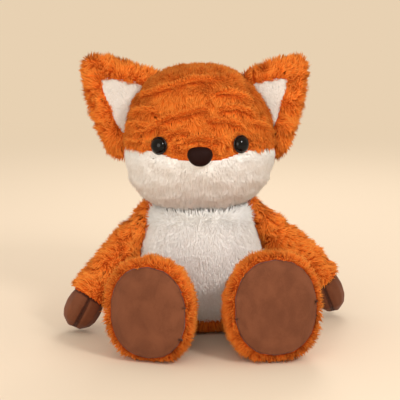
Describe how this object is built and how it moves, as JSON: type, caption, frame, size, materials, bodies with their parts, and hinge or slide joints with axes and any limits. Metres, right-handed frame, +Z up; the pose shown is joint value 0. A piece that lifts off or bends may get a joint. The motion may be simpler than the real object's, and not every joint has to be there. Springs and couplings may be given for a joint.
{
  "type": "plush fox",
  "caption": "Seated plush fox of curly orange and white fur with brown suede soles and paws, soft jointed head, ears, arms, legs and tail.",
  "frame": {"origin": "centre of the flat seat that the toy sits on", "axes": "+Z up; the toy faces -Y; +X is the toy's own left side"},
  "size_m": [0.2816, 0.3442, 0.2605],
  "materials": {
    "orange_fur": "curly long-pile plush",
    "white_fur": "soft dense white plush",
    "brown_suede": "short-pile velboa, matt",
    "fibrefill": "loose polyester fibre",
    "eye_plastic": "glossy black",
    "nose_flock": "flocked dark brown",
    "washer_plastic": "plain moulded"
  },
  "bodies": {
    "root": {"body_stuffing": "fibrefill", "belly_panel": "white_fur", "back_panel": "orange_fur", "seat_panel": "orange_fur"},
    "neck": {"neck_stuffing": "fibrefill"},
    "head": {"head_stuffing": "fibrefill", "head_face_panel": "orange_fur", "cheek_left": "white_fur", "cheek_right": "white_fur", "head_back_panel": "orange_fur", "eye_left": "eye_plastic", "eye_right": "eye_plastic", "eye_washer_left": "washer_plastic", "eye_washer_right": "washer_plastic", "nose": "nose_flock", "nose_washer": "washer_plastic"},
    "ear_left": {"ear_left_shell": "orange_fur", "ear_left_lining": "white_fur"},
    "ear_right": {"ear_right_shell": "orange_fur", "ear_right_lining": "white_fur"},
    "arm_left": {"arm_left_sleeve": "orange_fur", "paw_left_outer": "brown_suede", "paw_left_inner": "brown_suede", "arm_left_stuffing": "fibrefill"},
    "arm_right": {"arm_right_sleeve": "orange_fur", "paw_right_outer": "brown_suede", "paw_right_inner": "brown_suede", "arm_right_stuffing": "fibrefill"},
    "leg_left": {"leg_left_sleeve": "orange_fur", "sole_left": "brown_suede", "leg_left_stuffing": "fibrefill"},
    "leg_right": {"leg_right_sleeve": "orange_fur", "sole_right": "brown_suede", "leg_right_stuffing": "fibrefill"},
    "tail": {"tail_sleeve": "orange_fur", "tail_tip": "white_fur", "tail_stuffing": "fibrefill"}
  },
  "joints": [
    {"name": "head_turn", "type": "hinge", "parent": "root", "child": "neck", "pos_m": [0, -0.006, 0.116], "axis": [0, 0, 1], "range_deg": [-20, 20], "stiffness_Nm_per_rad": 1},
    {"name": "head_nod", "type": "hinge", "parent": "neck", "child": "head", "pos_m": [0, -0.006, 0.116], "axis": [1, 0, 0], "range_deg": [-10, 10], "stiffness_Nm_per_rad": 1.5},
    {"name": "ear_left_fold", "type": "hinge", "parent": "head", "child": "ear_left", "pos_m": [0.07374, 0, 0.1675], "axis": [-0.361, 0, 0.9326], "range_deg": [-18, 18], "stiffness_Nm_per_rad": 0.08},
    {"name": "ear_right_fold", "type": "hinge", "parent": "head", "child": "ear_right", "pos_m": [-0.07914, 0, 0.1675], "axis": [0.4151, 0, 0.9098], "range_deg": [-18, 18], "stiffness_Nm_per_rad": 0.08},
    {"name": "arm_left_raise", "type": "hinge", "parent": "root", "child": "arm_left", "pos_m": [0.05094, -0.00411, 0.12707], "axis": [0, -1, 0], "range_deg": [0, 60]},
    {"name": "arm_right_raise", "type": "hinge", "parent": "root", "child": "arm_right", "pos_m": [-0.04902, -0.00144, 0.12517], "axis": [0, 1, 0], "range_deg": [0, 60]},
    {"name": "leg_left_drop", "type": "hinge", "parent": "root", "child": "leg_left", "pos_m": [0.048, -0.04095, 0.0006], "axis": [0.7542, 0.6566, 0], "range_deg": [0, 55]},
    {"name": "leg_right_drop", "type": "hinge", "parent": "root", "child": "leg_right", "pos_m": [-0.034, -0.04967, 0.0006], "axis": [0.9178, -0.3971, 0], "range_deg": [0, 55]},
    {"name": "tail_lift", "type": "hinge", "parent": "root", "child": "tail", "pos_m": [0, 0.05391, 0.04044], "axis": [1, 0, 0], "range_deg": [0, 45]}
  ]
}
